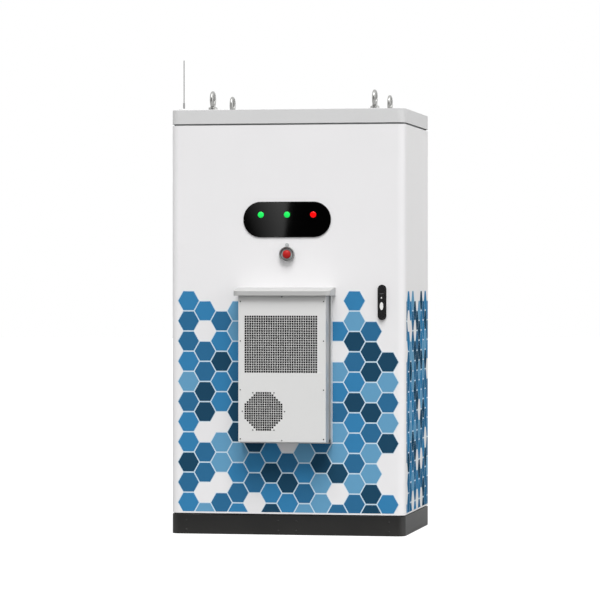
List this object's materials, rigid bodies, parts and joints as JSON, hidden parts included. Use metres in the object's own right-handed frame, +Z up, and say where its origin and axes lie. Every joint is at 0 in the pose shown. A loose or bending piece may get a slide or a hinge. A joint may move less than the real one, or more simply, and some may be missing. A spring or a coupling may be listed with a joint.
{
  "type": "battery cabinet",
  "caption": "Outdoor battery cabinet on a plinth, one large hinged door with a built-on air conditioner, lamps, stop button and swing handle.",
  "frame": {"origin": "on the floor, in the middle of the plinth", "axes": "+X to the right seen from the front, +Y to the back, +Z up"},
  "size_m": [1.2, 1.02, 2.406],
  "materials": {
    "shell_paint": "light grey powder coat",
    "plinth_paint": "black powder coat",
    "zinc_steel": "zinc plated sheet",
    "eye_steel": "galvanised forging",
    "black_rubber": "matt",
    "module_shell": "dark grey",
    "black_plastic": "glossy black",
    "grey_plastic": "mid grey",
    "white_plastic": "white",
    "ac_paint": "grey powder coat",
    "coil_aluminium": "finned",
    "green_lens": "clear green",
    "red_lens": "clear red",
    "stop_red": "satin red",
    "bottle_red": "gloss red",
    "lock_steel": "zinc plated",
    "key_cover_zinc": "satin die casting",
    "fan_plastic": "black"
  },
  "bodies": {
    "cabinet": {"plinth_frame": "plinth_paint", "plinth_skirts": "plinth_paint", "plinth_rubber_strips": "black_rubber", "floor_plate": "zinc_steel", "gland_plate": "zinc_steel", "cable_entry_frames": "black_plastic", "right_side_panel": "shell_paint", "left_side_panel": "shell_paint", "rear_panel": "shell_paint", "roof_deck": "zinc_steel", "corner_posts": "zinc_steel", "cross_rails": "zinc_steel", "roof_bearers": "zinc_steel", "roof_cap": "shell_paint", "lifting_eyes": "eye_steel", "antenna_foot": "white_plastic", "antenna_whip": "black_rubber", "rack_uprights": "zinc_steel", "rack_shelf_rails": "zinc_steel", "battery_module_1": "module_shell", "battery_module_2": "module_shell", "battery_module_3": "module_shell", "battery_module_4": "module_shell", "battery_module_5": "module_shell", "battery_control_unit": "module_shell", "module_handles": "lock_steel", "power_converter": "module_shell", "mounting_panel": "zinc_steel", "main_breaker": "grey_plastic", "fire_suppressant_bottle": "bottle_red", "hinge_brackets": "lock_steel", "hinge_pins": "lock_steel"},
    "door": {"door_outer_panel": "shell_paint", "door_hat_bars": "zinc_steel", "door_inner_panel": "zinc_steel", "door_seal": "black_rubber", "hinge_leaves": "lock_steel", "lamp_panel": "black_plastic", "green_lamps": "green_lens", "red_lamp": "red_lens", "stop_button_guard": "grey_plastic", "stop_switch": "grey_plastic", "handle_plate": "black_plastic", "lock_rod_guides": "zinc_steel", "ac_base": "ac_paint", "ac_cover": "ac_paint", "ac_grille_bars": "ac_paint", "ac_rain_hood": "ac_paint", "ac_condenser_coil": "coil_aluminium", "ac_fan_motors": "grey_plastic"},
    "stop_button": {"stop_button": "stop_red"},
    "handle_hub": {"handle_hub": "black_plastic", "lock_pinion": "lock_steel"},
    "swing_lever": {"swing_lever": "black_plastic"},
    "key_cover": {"key_cover": "key_cover_zinc"},
    "lock_rod_upper": {"lock_rod_upper": "lock_steel"},
    "lock_rod_lower": {"lock_rod_lower": "lock_steel"},
    "ac_outer_fan": {"ac_outer_fan": "fan_plastic"},
    "ac_inner_fan": {"ac_inner_fan": "fan_plastic"},
    "breaker_lever": {"breaker_lever": "black_plastic"}
  },
  "joints": [
    {"name": "door_swing", "type": "hinge", "parent": "cabinet", "child": "door", "pos_m": [-0.587, -0.389, 1.058], "axis": [0, 0, -1], "range_deg": [0, 110]},
    {"name": "handle_turn", "type": "hinge", "parent": "door", "child": "handle_hub", "pos_m": [0.485, -0.4313, 1.238], "axis": [0, 1, 0], "range_deg": [0, 90]},
    {"name": "lever_lift", "type": "hinge", "parent": "handle_hub", "child": "swing_lever", "pos_m": [0.485, -0.4371, 1.216], "axis": [-1, 0, 0], "range_deg": [0, 40]},
    {"name": "key_cover_swivel", "type": "hinge", "parent": "swing_lever", "child": "key_cover", "pos_m": [0.485, -0.4446, 1.197], "axis": [0, 1, 0], "range_deg": [0, 90]},
    {"name": "stop_push", "type": "slide", "parent": "door", "child": "stop_button", "axis": [0, 1, 0], "range_m": [0, 0.005]},
    {"name": "rod_upper_slide", "type": "slide", "parent": "door", "child": "lock_rod_upper", "axis": [0, 0, 1], "range_m": [-0.022, 0]},
    {"name": "rod_lower_slide", "type": "slide", "parent": "door", "child": "lock_rod_lower", "axis": [0, 0, 1], "range_m": [0, 0.022]},
    {"name": "outer_fan_spin", "type": "hinge", "parent": "door", "child": "ac_outer_fan", "pos_m": [-0.094, -0.514, 0.629], "axis": [0, 1, 0], "continuous": true},
    {"name": "inner_fan_spin", "type": "hinge", "parent": "door", "child": "ac_inner_fan", "pos_m": [0, -0.434, 0.6], "axis": [0, 1, 0], "continuous": true},
    {"name": "breaker_throw", "type": "hinge", "parent": "cabinet", "child": "breaker_lever", "pos_m": [0.287, -0.3277, 1.62], "axis": [1, 0, 0], "range_deg": [0, 60]}
  ],
  "couplings": [
    {"joint": "rod_upper_slide", "follows": "handle_turn", "m_per_rad": -0.014},
    {"joint": "rod_lower_slide", "follows": "handle_turn", "m_per_rad": 0.014}
  ]
}
